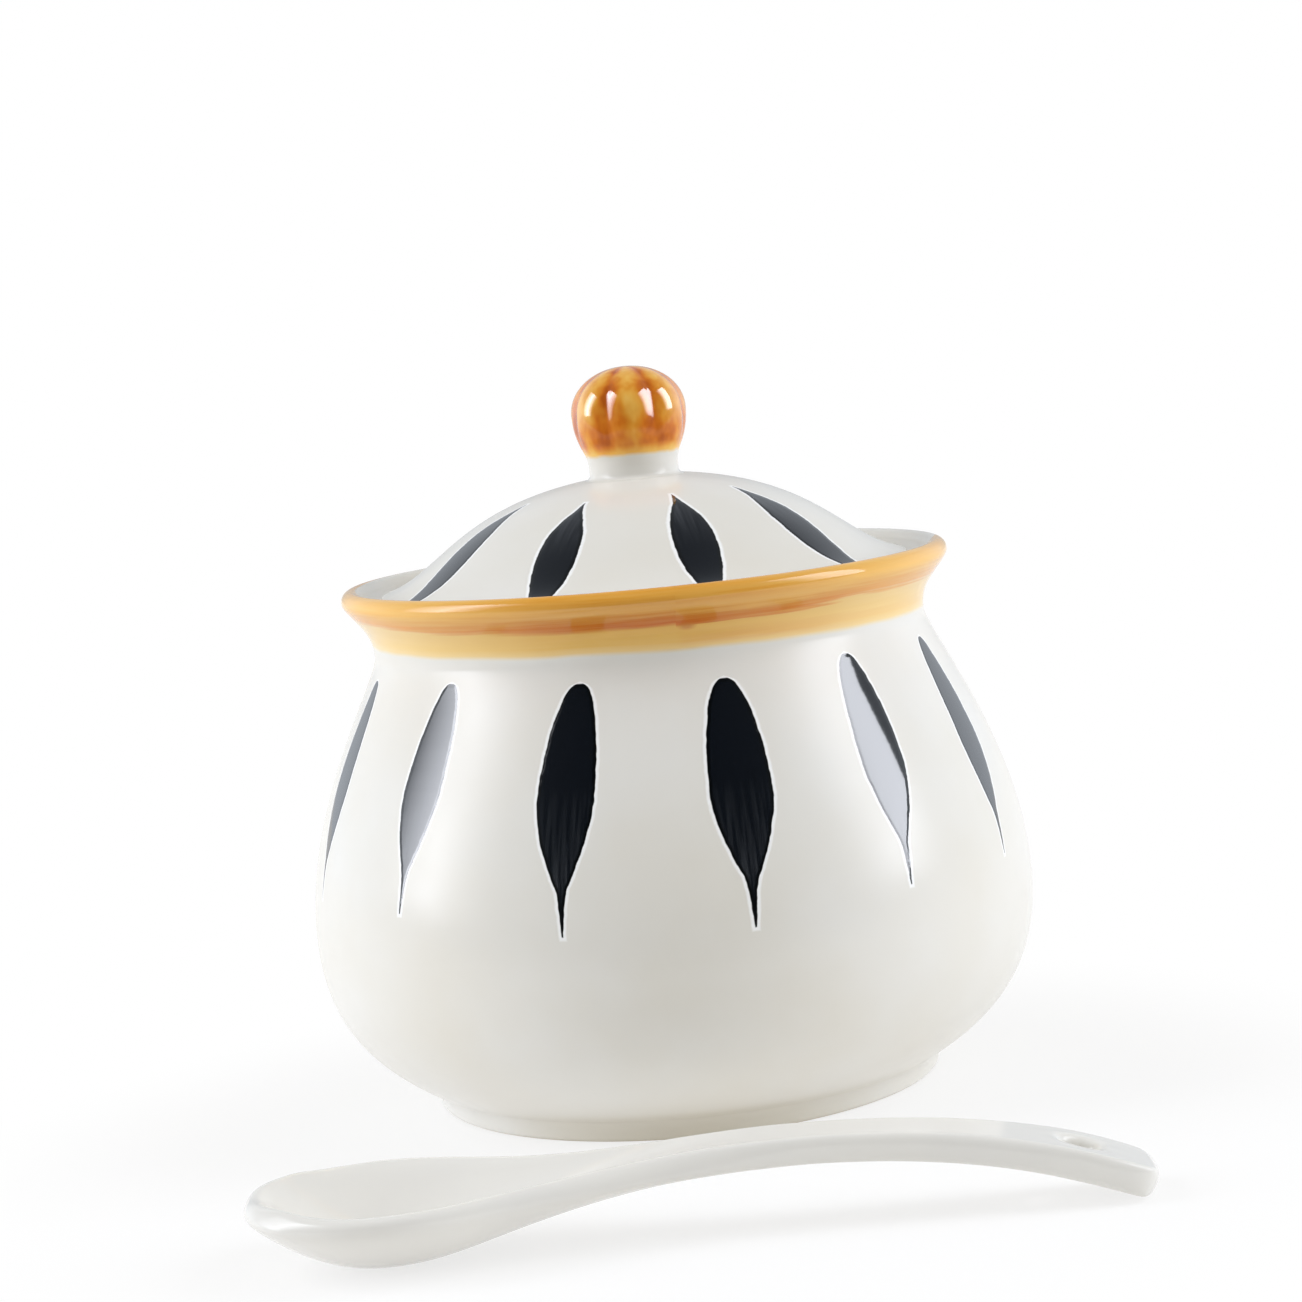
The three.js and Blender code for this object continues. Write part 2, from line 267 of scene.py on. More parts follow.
def softbox(name, azimuth, width, watts, glow):
    """An area lamp 1 m from the jar, at an azimuth in degrees from the front to the right.

    glow is its brightness across its width, as curve points.
    """
    lamp = placed(name, bpy.data.lights.new(name, "AREA"))
    lamp.data.shape = "RECTANGLE"
    lamp.data.size = width
    lamp.data.size_y = SOFTBOX_TALL
    lamp.data.energy = watts
    add = node_adder(lamp.data)
    across = add("NewGeometry", out="Parametric")
    share = add("SeparateXYZ", [across])
    bright = add("FloatCurve", {"Value": share}, curve=glow)
    shine = add("Emission", {"Color": SOFTBOX_LIGHT, "Strength": bright})
    add("OutputLight", [shine], out=None)
    turn = radians(azimuth)
    flat = cos(SOFTBOX_UP)
    away = Vector((sin(turn) * flat, -cos(turn) * flat, sin(SOFTBOX_UP)))
    lamp.location = AIM + away
    lamp.rotation_euler = away.to_track_quat("Z", "Y").to_euler()
    return lamp


SOFT_BOTH = (
    (0, 0.08), (0.15, 0.32), (0.3, 0.55), (0.42, 0.76), (0.5, 1), (0.6, 0.78), (0.75, 0.45),
    (1, 0.02),
)
SOFT_FRONT = ((0, 0), (0.2, 0.35), (0.4, 0.8), (0.6, 1), (1, 1))
lamps = [
    softbox("left softbox", azimuth=-81, width=0.74, watts=12.6, glow=SOFT_BOTH),
    softbox("right softbox", azimuth=72, width=0.58, watts=7.6, glow=SOFT_FRONT),
]
print("softboxes:", [lamp.name for lamp in lamps])

# %% [markdown]
# The floor is white paper. It keeps the shade under the jar and the spoon, and a little way round
# them it fades into the white background, so no horizon shows. Like a lit table it throws some light
# up at the jar. It ends in front of the spoon, out of the picture, so the knob and the belly mirror
# the dark side of the room below the horizon too.

# %% Floor
FLOOR_RADIUS = 1.6
FLOOR_FRONT = 0.22  # m from the jar's axis to the front edge of the paper
SHADOW_AT = (0, -0.035, 0)  # midway between the jar and the spoon
SHADOW_NEAR = 0.065  # m from there, up to where the floor shows its own shade
SHADOW_FAR = 0.12  # m from there, where it has faded into the background
PAPER = "#F6F5F3"
PAPER_GLOW = 0.7  # share of plain white in the paper even close to the jar
TABLE_GLOW = 0.2  # share of plain white in the light that it throws on the jar


def formed(name, shape):
    """Put a finished bmesh in the scene."""
    mesh = bpy.data.meshes.new(name)
    shape.to_mesh(mesh)
    shape.free()
    return placed(name, mesh)


ground = bmesh.new()
centre = Matrix.Translation((0, FLOOR_RADIUS - FLOOR_FRONT, 0))
bmesh.ops.create_circle(ground, cap_ends=True, segments=96, radius=FLOOR_RADIUS, matrix=centre)
floor = formed("floor", ground)

paper = bpy.data.materials.new("white paper sweep")
add = node_adder(paper)
place = add("TexCoord", out="Object")
far = add("VectorMath", [place, SHADOW_AT], "DISTANCE", out="Value")
faded = add("MapRange", [far, SHADOW_NEAR, SHADOW_FAR, PAPER_GLOW, 1], **SMOOTH)
rays = add("LightPath", out=None).outputs
mirrored = add("Math", [rays["Is Camera Ray"], rays["Is Glossy Ray"]], "MAXIMUM")
straight = add("Math", [mirrored, rays["Is Transmission Ray"]], "MAXIMUM")
seen = add("Math", [faded, straight], "MULTIPLY")
thrown = add("Math", [rays["Is Diffuse Ray"], TABLE_GLOW], "MULTIPLY")
glow = add("Math", [seen, thrown], "MAXIMUM")
lit = add("BsdfDiffuse", {"Color": PAPER})
bright = add("Emission", {"Color": PLAIN})
both = add("MixShader", [glow, lit, bright])
add("OutputMaterial", [both], out=None)
floor.data.materials.append(paper)
floor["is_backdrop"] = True
print("floor:", 2 * FLOOR_RADIUS, "m across")

# %% [markdown]
# ## Turning on the wheel
#
# Pot, lid and knob are all turned, so each is a profile of radius and height swept round the upright
# axis. Blender's Screw modifier could do that too. A small function is used instead, because it can
# give each stretch of the profile its own finish: painted, clear or bare.
#
# Corners are eased with a short curve. Fired glaze never has a sharp edge.

# %% Helpers for turned pieces
WHEEL_STEPS = 192
SAME_POINT = 1e-4  # mm
EASED_POINTS = 6
EASED_PULL = 0.45  # how far the handles of an eased corner stay from it


def curve(start, pull, hold, end, steps):
    """Points along a Bezier curve between two points of a profile.

    pull and hold are its handles, each as the shares of the way across and up from start to end.
    """
    start, end = Vector(start), Vector(end)
    handles = [start + (end - start) * Vector(shares) for shares in (pull, hold)]
    return interpolate_bezier(start, *handles, end, steps + 1)


def arc(middle, radius, start, stop, steps):
    """Points along an arc, with its ends in degrees."""
    angles = [radians(start + (stop - start) * i / steps) for i in range(steps + 1)]
    return [Vector((middle[0] + radius * cos(a), middle[1] + radius * sin(a))) for a in angles]


def eased(before, corner, after, size):
    """A corner of a profile, rounded off within this size."""
    corner = Vector(corner)
    start = corner + size * (Vector(before) - corner).normalized()
    end = corner + size * (Vector(after) - corner).normalized()
    handles = [corner.lerp(side, EASED_PULL) for side in (start, end)]
    return interpolate_bezier(start, *handles, end, EASED_POINTS)


def turned(name, stretches, finishes):
    """Turn a profile in mm about Z. It is given as stretches, each with its finish and its points."""
    shape = bmesh.new()
    rings = []
    last = None
    for finish, points in stretches:
        for point in map(Vector, points):
            if last is not None and (point - last).length < SAME_POINT:
                continue
            last = point
            count = 1 if point.x < SAME_POINT else WHEEL_STEPS
            turns = [2 * pi * step / count for step in range(count)]
            radius, height = point * MM
            ring = [shape.verts.new((radius * sin(a), -radius * cos(a), height)) for a in turns]
            rings.append((finish, ring))
    for (_, below), (finish, above) in zip(rings, rings[1:]):
        for step in range(WHEEL_STEPS):
            after = (step + 1) % WHEEL_STEPS
            corners = [below[step % len(below)], below[after % len(below)]]
            corners += [above[after % len(above)], above[step % len(above)]]
            face = shape.faces.new(dict.fromkeys(corners))
            face.material_index = list(finishes).index(finish)
            face.smooth = True
    piece = formed(name, shape)
    for finish in finishes.values():
        piece.data.materials.append(finish)
    return piece


print("a turned ring has", WHEEL_STEPS, "points")

# %% [markdown]
# ## Glazes
#
# The body is stoneware under a clear satin glaze. A glaze is a thin layer of glass: its IOR is about
# 1.5, and it is never quite flat. Faint throwing lines run round the pot under it, and its own
# surface undulates by about a hundredth of a millimetre. Both show only where a reflection bends, so
# they are a bump, and the colour below them is what each finish changes.
#
# Painted ink and amber melt to a brighter surface than the ivory round them. A second function mixes
# in their IOR and roughness where they lie.

# %% Glaze over stoneware
GLAZE_IOR = 1.52
GLAZE_ROUGHNESS = 0.24  # of the ivory, a soft satin gloss
GLAZE_UNEVEN = 0.03  # how much rougher or smoother it is in places
THROWING_LINES = (0.02, 0.02, 0.45)  # noise for each mm, so a line is about 2 mm high and 50 mm long


def glazed(name, ripple=6.0, ripple_depth=0.012, ring_depth=0.02, roughness=GLAZE_ROUGHNESS):
    """A clear glaze, with the size of its ripples and the depth of ripples and throwing lines in mm.

    Returns its material, the function that adds nodes to it, the place in mm and the shader.
    """
    material = bpy.data.materials.new(name)
    add = node_adder(material)
    metres = add("TexCoord", out="Object")
    place = add("VectorMath", {0: metres, 3: 1 / MM}, "SCALE")
    flow = add("TexNoise", {"Vector": place, "Scale": 1 / ripple, "Detail": 1.0})
    round_lines = add("VectorMath", [place, THROWING_LINES], "MULTIPLY")
    thrown = add("TexNoise", {"Vector": round_lines, "Scale": 1.0})
    waves = add("Bump", {"Distance": ripple_depth * MM, "Height": flow})
    rings = add("Bump", {"Distance": ring_depth * MM, "Height": thrown, "Normal": waves})
    smoother, rougher = roughness - GLAZE_UNEVEN, roughness + GLAZE_UNEVEN
    polish = add("MapRange", [flow, 0.3, 0.7, smoother, rougher])
    surface = {"IOR": GLAZE_IOR, "Roughness": polish, "Normal": rings}
    shader = add("BsdfPrincipled", surface, out=None)
    add("OutputMaterial", [shader.outputs[0]], out=None)
    return material, add, place, shader


def glossier(add, shader, share, ior, roughness):
    """Give the glaze another IOR and roughness where share is 1."""
    for name, there in (("IOR", ior), ("Roughness", roughness)):
        socket = shader.inputs[name]
        here = socket.links[0].from_socket if socket.is_linked else socket.default_value
        link(add("MapRange", [share, 0, 1, here, there]), shader, name)


# %% Plain ivory
IVORY = "#E9E6DE"
IVORY_WARM = "#E5E0D4"
PATCH_SIZE = 25  # mm


def ivory_body(add, place):
    """The ivory of the glazed body, a little warmer in soft patches."""
    patches = add("TexNoise", {"Vector": place, "Scale": 1 / PATCH_SIZE, "Detail": 3.0})
    share = add("MapRange", [patches, 0.35, 0.75, 0, 1])
    return add("Mix", {0: share, 6: IVORY, 7: IVORY_WARM}, **BLEND)


plain_glaze, add, place, shader = glazed("clear glaze over ivory stoneware")
link(ivory_body(add, place), shader, "Base Color")
print("glaze:", plain_glaze.name)

# %% [markdown]
# Where the pot stands in the kiln, and where the lid sits on its ledge, glaze would stick, so it is
# wiped off there. What shows is bare fired clay: matt, beige and gritty.

# %% Bare clay
CLAY = "#B9A98F"
CLAY_PALE = "#D8CBB4"
CLAY_ROUGHNESS = 0.85
GRIT_DEPTH = 0.03  # mm
GRIT = 0.6  # mm between grains, drawn coarser than the real 0.1 to 0.2 mm so that it shows

bare_clay = bpy.data.materials.new("bare fired stoneware")
add = node_adder(bare_clay)
metres = add("TexCoord", out="Object")
place = add("VectorMath", {0: metres, 3: 1 / MM}, "SCALE")
grains = add("TexNoise", {"Vector": place, "Scale": 1 / GRIT})
clay = add("Mix", {0: grains, 6: CLAY, 7: CLAY_PALE}, **BLEND)
gritty = add("Bump", {"Distance": GRIT_DEPTH * MM, "Height": grains})
surface = {"Base Color": clay, "Roughness": CLAY_ROUGHNESS, "Normal": gritty}
shader = add("BsdfPrincipled", surface)
add("OutputMaterial", [shader], out=None)
print("bare clay grains are drawn", GRIT, "mm apart")

# %% [markdown]
# ## Black brush strokes
#
# Each petal is one press of a loaded brush: a pointed tail, a full belly and a round or pointed top.
# The same stroke is repeated round the pot and the lid by hand, so no two stand quite alike.
#
# The strokes are laid out in a UV map. Every face corner is told where it lies on the petal nearest
# to it, in mm across and along the stroke. The material then needs only the outline of one petal, as
# a curve of half width, and the hand's small errors stay in the layout.

# %% Layout of the strokes
BOW_MEAN = 0.3  # taken off a bow, so that it bends a stroke and doesn't shift it


def lay_petals(piece, first, hands, length, reach):
    """Write the UV map "petal": mm across and along the nearest of the evenly spaced strokes.

    Each hand is how its stroke strays: its shift, lean and bow in degrees, its breadth as a share,
    and where it starts and how long it is in mm. reach gives a point's mm along a stroke.
    """
    spacing = 360 / len(hands)
    layout = piece.data.uv_layers.new(name="petal")
    for face in piece.data.polygons:
        facing = degrees(atan2(face.center.x, -face.center.y))
        nearest = round((facing - first) / spacing)
        shift, lean, bow, breadth, tail, stroke = hands[nearest % len(hands)]
        for corner in face.loop_indices:
            point = piece.data.vertices[piece.data.loops[corner].vertex_index].co
            along = (reach(point) - tail) / stroke
            swing = 2 * along - 1
            bent = lean * swing / 2 + bow * (swing * swing - BOW_MEAN)
            centre = first + nearest * spacing + shift + bent
            turn = degrees(atan2(point.x, -point.y)) - centre
            turn = radians((turn + 180) % 360 - 180)
            across = turn * hypot(point.x, point.y) / MM
            layout.data[corner].uv = across / breadth, along * length


# %% Paint of the strokes
INK = "#10141A"
INK_EDGE = "#07090B"
INK_STREAK = "#505357"
HALO = "#FCFBF8"
HALO_WIDTH = 0.6  # mm of cleaner glaze round a stroke, where the ink draws the glaze thin
EDGE_WIDTH = 0.35  # mm of thicker ink along the edge of a stroke
TREMBLE = 1.6  # mm between the small bumps along a stroke's edge
TREMBLE_DEPTH = 0.11
BRISTLES = (1.3, 0.09, 0)  # noise for each mm across and along, so a streak is about 1 mm by 11 mm
STREAKS_FADE = (0.1, 0.6)  # between these shares of its length a stroke loses its streaks
INK_SOFT = (-0.06, 0.1)  # mm from outside its edge to inside, over which the ink starts
INK_RAISED = 0.035  # mm that the ink stands proud, rounded off over the width of its edge
INK_IOR = 2.15  # iron oxide crystals on the ink's surface mirror far more than clear glaze does
INK_ROUGHNESS = 0.06


def paint_petals(add, place, shader, body, outline, length, half_width, streaky):
    """Paint the strokes over the body colour. outline is half width against length, as shares.

    Returns the colour. The gloss and the relief of the ink go to the shader.
    """
    across_along = add("UVMap", uv_map="petal")
    across, along, _ = add("SeparateXYZ", [across_along], out=None).outputs
    share = add("Math", [along, length], "DIVIDE")
    swell = add("FloatCurve", {"Value": share}, curve=outline)
    shake = add("TexNoise", {"Vector": place, "Scale": 1 / TREMBLE})
    strayed = add("MapRange", [shake, 0.25, 0.75, -TREMBLE_DEPTH, TREMBLE_DEPTH])
    side = add("Math", [across, strayed], "ADD")
    off_centre = add("Math", [side], "ABSOLUTE")
    half = add("Math", [swell, half_width], "MULTIPLY")
    inside = add("Math", [half, off_centre], "SUBTRACT")
    to_top = add("Math", [length, along], "SUBTRACT")
    to_end = add("Math", [along, to_top], "MINIMUM")
    depth = add("Math", [inside, to_end], "MINIMUM")

    ink = add("MapRange", [depth, *INK_SOFT, 0, 1], **SMOOTH)
    edge = add("MapRange", [depth, EDGE_WIDTH, 2 * EDGE_WIDTH, 1, 0], **SMOOTH)
    halo = add("MapRange", [depth, -HALO_WIDTH, -HALO_WIDTH / 2, 0, 1])

    bristles = add("VectorMath", [across_along, BRISTLES], "MULTIPLY")
    dry = add("TexNoise", {"Vector": bristles, "Scale": 1.0})
    low = add("MapRange", [share, *STREAKS_FADE, streaky, 0])
    streak = add("MapRange", [dry, 0.4, 0.72, 0, 1])
    thin = add("Math", [streak, low], "MULTIPLY")
    brushed = add("Mix", {0: thin, 6: INK, 7: INK_STREAK}, **BLEND)
    inked = add("Mix", {0: edge, 6: brushed, 7: INK_EDGE}, **BLEND)
    cleaner = add("Mix", {0: halo, 6: body, 7: HALO}, **BLEND)

    glossier(add, shader, ink, INK_IOR, INK_ROUGHNESS)
    glaze = shader.inputs["Normal"].links[0].from_socket
    proud = add("MapRange", [depth, 0, 2 * EDGE_WIDTH, 0, 1], **SMOOTH)
    relief = {"Distance": INK_RAISED * MM, "Height": proud, "Normal": glaze}
    link(add("Bump", relief), shader, "Normal")
    return add("Mix", {0: ink, 6: cleaner, 7: inked}, **BLEND)


print("ink is", INK, "and its edges are", INK_EDGE)

# %% [markdown]
# ## Pot
#
# The outside runs from the foot over the hip to a low, wide belly, then up the shoulder to the neck
# and out into the lip. Inside the lip is a ledge for the lid. The largest radius and the height come
# from the frame, and the other sizes are those of the solid, in mm. Only the edge of the foot is
# drawn crisper, with a soft cove above it, as a foot trimmed on the wheel has.

# %% Profile of the pot
_, pot_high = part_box("jar_body")
BELLY_RADIUS = pot_high.x / MM
JAR_HEIGHT = pot_high.z / MM
BELLY_HEIGHT = 28.8
BASE_RADIUS = 38.4
FOOT_EDGE = 0.8
FOOT_RADIUS = 39.4
FOOT_HEIGHT = 2.8
FOOT_COVE = 1.2
NECK_RADIUS = 42.7
NECK_HEIGHT = 71
LIP_RADIUS = 47
LIP_ROUND = 1.6
LIP_START = -35  # degrees round the lip's edge, where the flare runs into it
POT_WALL = 4.2
FLOOR_THICKNESS = 5
INNER_FLOOR_RADIUS = 30
LEDGE_DROP = 4.1
LEDGE_HEIGHT = JAR_HEIGHT - LEDGE_DROP
LEDGE_EDGE = 0.6
SEAT_RADIUS = 41.6
SEAT_FILLET = 0.5
THROAT_RADIUS = NECK_RADIUS - POT_WALL
GLAZE_LINE = -50  # degrees round the foot's edge, up to where the glaze was wiped off

foot = (FOOT_RADIUS, FOOT_HEIGHT)
foot_middle = (BASE_RADIUS, FOOT_EDGE)
belly = (BELLY_RADIUS, BELLY_HEIGHT)
neck = (NECK_RADIUS, NECK_HEIGHT)
lip = (LIP_RADIUS - LIP_ROUND, JAR_HEIGHT - LIP_ROUND)
lip_curve = arc(lip, LIP_ROUND, LIP_START, 180, 22)
seat = (SEAT_RADIUS, LEDGE_HEIGHT)
ledge = (THROAT_RADIUS, LEDGE_HEIGHT)
throat = (THROAT_RADIUS, NECK_HEIGHT)
inner_belly = (BELLY_RADIUS - POT_WALL, BELLY_HEIGHT)
inner_floor = (INNER_FLOOR_RADIUS, FLOOR_THICKNESS)

hip_curve = curve(foot, (0.65, 0.22), (1, 0.495), belly, 28)
shoulder_curve = curve(belly, (0, 0.477), (1, 0.909), neck, 44)
flare_curve = curve(neck, (0, 0.5), (0.54, 0.66), lip_curve[0], 16)
inner_shoulder = curve(throat, (0, 0.091), (1, 0.523), inner_belly, 24)
inner_bowl = curve(inner_belly, (0, 0.55), (0.38, 1), inner_floor, 20)
pot_profile = [
    ("bare", [(0, 0), (BASE_RADIUS / 2, 0), (BASE_RADIUS, 0)]),
    ("bare", arc(foot_middle, FOOT_EDGE, -90, GLAZE_LINE, 5)),
    ("painted", arc(foot_middle, FOOT_EDGE, GLAZE_LINE, 0, 4)),
    ("painted", eased((BASE_RADIUS + FOOT_EDGE, FOOT_EDGE), foot, hip_curve[2], FOOT_COVE)),
    ("painted", hip_curve[2:] + shoulder_curve + flare_curve + lip_curve),
    ("clear", eased(lip_curve[-1], seat, ledge, SEAT_FILLET)),
    ("bare", eased(seat, ledge, throat, LEDGE_EDGE)),
    ("clear", inner_shoulder + inner_bowl),
    ("clear", [(INNER_FLOOR_RADIUS / 2, FLOOR_THICKNESS), (0, FLOOR_THICKNESS)]),
]
print("pot:", 2 * BELLY_RADIUS, "mm wide and", JAR_HEIGHT, "mm high")

# %% [markdown]
# The lip was banded on the wheel with a brush of amber glaze. The brush touched down at the front and
# left a small dark spot. The pot ran a little off true, so the dark streak dips there and the band
# tilts. A second, thinner streak starts at the same place and runs out to the right. Below them a
# first coat shows as a yellow stripe. Left and right the amber is thin and pale, partly painted light
# of the softboxes that face it there, and towards the back it ends lower on the crest of the lip.
# All streaks follow the turn, so their noise is stretched sideways.

# %% Amber band
BAND_BOTTOM = 72.04
BAND_START = 5  # degrees from the front, where the brush touched down
BAND_TILT = 0.018  # mm that the band drops for each mm to the right
BAND_CLIMB = 2.2  # mm that the dark streak climbs towards the back
BAND_RISE = (  # how far it has climbed, once round the lip
    (0, 0.08), (0.04, 0.09), (0.086, 0.41), (0.14, 0.9), (0.2, 0.9), (0.4, 0.5), (0.7, 0.6),
    (0.8, 0.45), (0.86, 0.24), (0.91, 0.18), (0.96, 0.16), (1, 0.2),
)
BAND_RAGGED = (  # mm of blur at its edge, once round
    (0, 0.2), (0.04, 0.5), (0.3, 0.6), (0.7, 0.5), (0.9, 0.25), (1, 0.2),
)
BAND_THIN_AND_LIT = (  # how thin and pale the amber is, once round, with painted softbox light at the left and right
    (0, 0), (0.04, 0.15), (0.086, 0.4), (0.14, 0.6), (0.2, 0.55), (0.3, 0.25), (0.65, 0.2),
    (0.75, 0.55), (0.8, 0.65), (0.86, 0.5), (0.91, 0.25), (0.96, 0.02), (1, 0),
)
BAND_SOFT = (-0.3, 0.6)  # mm above its bottom, between which the band starts
BAND_SWAY = (0.05, 0.05, 0.12)  # noise for each mm, so the brush sways about once in 20 mm
SWAY_DEPTH = 0.3  # mm up or down
BAND_HAIRS = (0.06, 0.06, 2.2)  # noise for each mm, so a hair's streak is about 0.5 mm by 17 mm
HAIRS = "#F2CA76"
HAIRS_SHARE = 0.3
WATERY = "#F4E0B0"  # at the bottom of the band
WATERY_SHARE = 0.6
WATERY_HEIGHT = 1.4
SECOND = "#DF9A3C"
SECOND_STREAK = (  # how strong the second streak is, once round
    (0, 0), (0.02, 0.5), (0.05, 0.7), (0.1, 0.75), (0.15, 0.6), (0.3, 0.2), (0.5, 0), (1, 0),
)
SECOND_HEIGHT = 1.7  # mm above the bottom of the band
SECOND_WAVER = 0.4  # mm
SECOND_REACH = (0.2, 1.6)  # mm from its middle, between which it fades
TOUCHED = "#C26A10"
TOUCHED_SHARE = 0.7
TOUCH = (0.7, 3.55, 0)  # mm from the start and above the bottom, where the brush touched down
TOUCH_SIZE = 0.7
TOUCH_LONG = 2.2  # times longer than high
BAND_COLOURS = (  # mm above the bottom of the band, and its colour there
    (0.0, "#EABA58"), (3.2, "#E7B14C"), (3.7, "#CC6204"), (4.9, "#D07A1A"), (6.0, "#E3A142"),
    (6.6, "#E5A64A"), (7.5, "#DB922E"), (8.3, "#E4A23E"), (10.0, "#DE9836"),
)
THIN_AND_LIT_COLOURS = (  # the same where it is thin and where softbox light is painted on it
    (0.0, "#FFE09C"), (3.2, "#FFE09C"), (3.9, "#FFB84A"), (5.0, "#FFC864"), (10.0, "#FFD27C"),
)
BAND_TALL = BAND_COLOURS[-1][0]
CREST_EDGE = 44.5  # mm from the axis, where the amber ends inside the crest of the lip
CREST_SOFT = 0.2  # mm to either side, over which it fades
CREST_FROM = lip[1] - 0.3  # up to this height all of the outside is amber
CREST_PLAY = 1.8  # mm that it is drawn back at most, towards the back of the jar
CREST_DRAWN = (  # how far it is drawn back, once round
    (0, 0), (0.2, 0), (0.27, 1), (0.5, 1), (0.62, 0.55), (0.72, 0.35), (0.8, 0), (1, 0),
)
AMBER_IOR = 1.6  # amber glaze is melted with lead or barium, which make it brilliant
AMBER_ROUGHNESS = 0.09
print("band:", BAND_TALL, "mm of amber above", BAND_BOTTOM, "mm")


# %% Paint of the band
def amber_band(add, place, shader, body):
    """Brush amber over the body colour from the neck to the crest of the lip."""
    x, y, z = add("SeparateXYZ", [place], out=None).outputs
    front = add("Math", [y, -1.0], "MULTIPLY")
    facing = add("Math", [x, front], "ARCTAN2")
    from_start = add("Math", [facing, radians(BAND_START)], "SUBTRACT")
    turns = add("Math", [from_start, 2 * pi], "DIVIDE")
    turn = add("Math", [turns], "FRACT")
    tables = (BAND_RISE, BAND_RAGGED, BAND_THIN_AND_LIT, SECOND_STREAK, CREST_DRAWN)
    curves = [add("FloatCurve", {"Value": turn}, curve=table) for table in tables]
    rise, blur, thin, second, drawn = curves

    sideways = add("VectorMath", [place, BAND_SWAY], "MULTIPLY")
    sway = add("TexNoise", {"Vector": sideways, "Scale": 1.0})
    swayed = add("MapRange", [sway, 0.25, 0.75, -SWAY_DEPTH, SWAY_DEPTH])
    hairs = add("VectorMath", [place, BAND_HAIRS], "MULTIPLY")
    streaks = add("TexNoise", {"Vector": hairs, "Scale": 1.0, "Detail": 3.0})
    hair = add("MapRange", [streaks, 0.3, 0.7, -1, 1])

    height = add("Math", [z, BAND_BOTTOM], "SUBTRACT")
    tilted = add("Math", [x, BAND_TILT, height], "MULTIPLY_ADD")
    strayed = add("Math", [tilted, swayed], "ADD")
    dipped = add("Math", [rise, -BAND_CLIMB, strayed], "MULTIPLY_ADD")
    brushed = add("Math", [hair, blur, dipped], "MULTIPLY_ADD")
    share = add("Math", [brushed, BAND_TALL], "DIVIDE")
    ramps = []
    for colours in (BAND_COLOURS, THIN_AND_LIT_COLOURS):
        stops = [(mm / BAND_TALL, colour) for mm, colour in colours]
        ramps.append(add("ValToRGB", [share], stops=stops))
    coats, thin_and_lit = ramps

    wavered = add("Math", [hair, SECOND_WAVER, SECOND_HEIGHT], "MULTIPLY_ADD")
    from_second = add("Math", [strayed, wavered], "SUBTRACT")
    apart = add("Math", [from_second], "ABSOLUTE")
    near = add("MapRange", [apart, *SECOND_REACH, 1, 0], **SMOOTH)
    again = add("Math", [near, second], "MULTIPLY")
    twice = add("Mix", {0: again, 6: coats, 7: SECOND}, **BLEND)
    round_lip = add("Math", [turn, 2 * pi * NECK_RADIUS / TOUCH_LONG], "MULTIPLY")
    spot = add("CombineXYZ", [round_lip, strayed])
    from_touch = add("VectorMath", [spot, TOUCH], "DISTANCE", out="Value")
    touched = add("MapRange", [from_touch, TOUCH_SIZE / 3, TOUCH_SIZE, TOUCHED_SHARE, 0])
    started = add("Mix", {0: touched, 6: twice, 7: TOUCHED}, **BLEND)
    # painted light: the amber turns paler at the left and right of the lip, where the softboxes shine
    # on it, and it is thin there too
    paler = add("Mix", {0: thin, 6: started, 7: thin_and_lit}, **BLEND)
    lighter = add("MapRange", [streaks, 0.35, 0.8, 0, HAIRS_SHARE])
    hairy = add("Mix", {0: lighter, 6: paler, 7: HAIRS}, **BLEND)
    watery = add("MapRange", [strayed, 0, WATERY_HEIGHT, WATERY_SHARE, 0])
    amber = add("Mix", {0: watery, 6: hairy, 7: WATERY}, **BLEND)

    covered = add("MapRange", [strayed, *BAND_SOFT, 0, 1], **SMOOTH)
    flat = add("VectorMath", [place, (1, 1, 0)], "MULTIPLY")
    radius = add("VectorMath", [flat], "LENGTH", out="Value")
    inset = add("Math", [drawn, -CREST_PLAY, radius], "MULTIPLY_ADD")
    crest = add("Math", [inset, swayed], "ADD")
    outer = add("MapRange", [crest, CREST_EDGE - CREST_SOFT, CREST_EDGE + CREST_SOFT, 0, 1])
    below = add("MapRange", [z, CREST_FROM, CREST_FROM + 0.1, 1, 0])
    shown = add("Math", [outer, below], "MAXIMUM")
    banded = add("Math", [covered, shown], "MULTIPLY")
    glossier(add, shader, banded, AMBER_IOR, AMBER_ROUGHNESS)
    return add("Mix", {0: banded, 6: body, 7: amber}, **BLEND)


